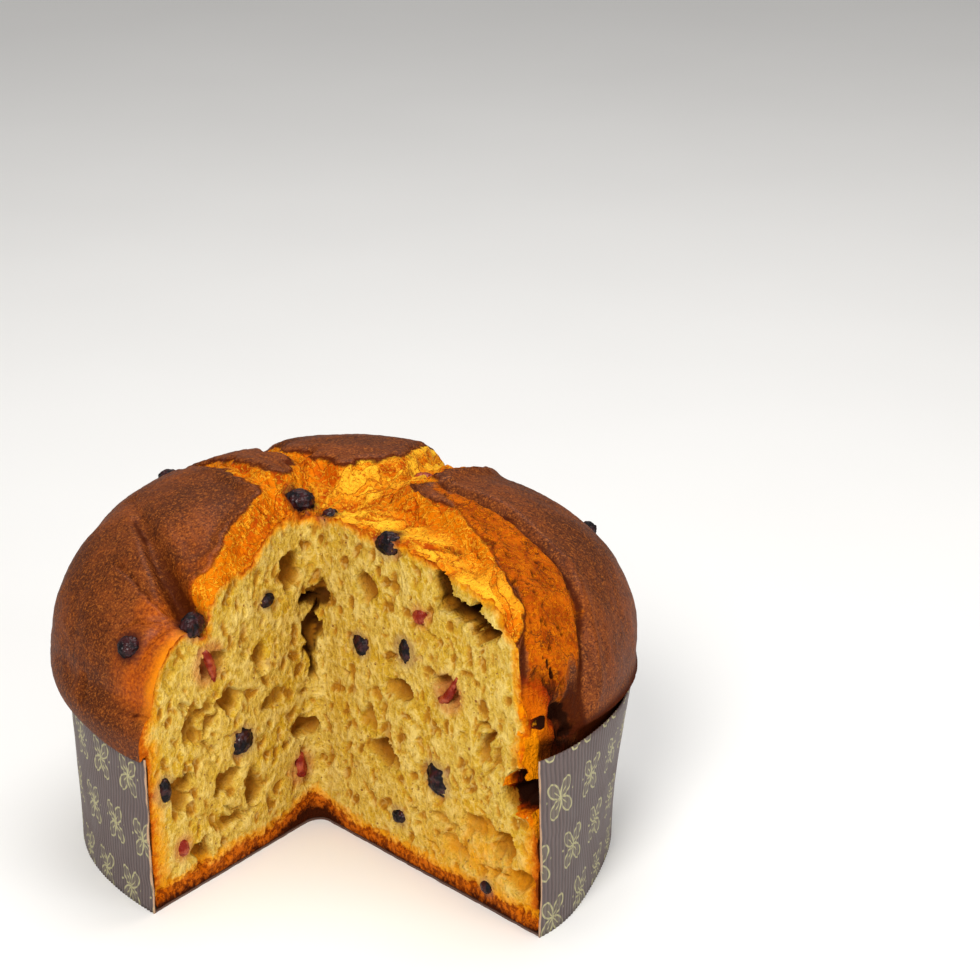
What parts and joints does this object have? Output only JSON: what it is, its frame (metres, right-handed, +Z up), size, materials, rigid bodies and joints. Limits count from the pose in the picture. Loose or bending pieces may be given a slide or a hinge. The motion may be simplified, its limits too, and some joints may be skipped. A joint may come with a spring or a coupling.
{
  "type": "panettone",
  "caption": "Low panettone in a ribbed paper baking mould: domed crust torn open along its scored cross, and a wedge cut out that bares berries and red fruit in the crumb.",
  "frame": {"origin": "middle of the round base of the paper mould, on the surface that it stands on", "axes": "+Z up, through the dome; the cut-out wedge opens towards -Y"},
  "size_m": [0.1968, 0.1787, 0.1248],
  "materials": {
    "bread": "matt, dark brown and slightly glossy on the crust, golden orange where it has torn, pale yellow open crumb on the cut faces",
    "printed_paper": "ribbed warm grey-brown baking paper with a sparse pale line pattern",
    "dark_berry": "wrinkled and moist, half gloss, blue-black to dark red",
    "red_fruit": "moist semi-dried red fruit, half gloss"
  },
  "bodies": {
    "root": {"loaf": "bread", "paper_case": "printed_paper", "dark_berry_1": "dark_berry", "dark_berry_2": "dark_berry", "dark_berry_3": "dark_berry", "dark_berry_4": "dark_berry", "dark_berry_5": "dark_berry", "dark_berry_6": "dark_berry", "dark_berry_7": "dark_berry", "dark_berry_8": "dark_berry", "dark_berry_9": "dark_berry", "dark_berry_10": "dark_berry", "dark_berry_11": "dark_berry", "dark_berry_12": "dark_berry", "dark_berry_13": "dark_berry", "dark_berry_14": "dark_berry", "dark_berry_15": "dark_berry", "dark_berry_16": "dark_berry", "dark_berry_17": "dark_berry", "red_fruit_1": "red_fruit", "red_fruit_2": "red_fruit", "red_fruit_3": "red_fruit", "red_fruit_4": "red_fruit", "red_fruit_5": "red_fruit", "red_fruit_6": "red_fruit"}
  },
  "joints": []
}
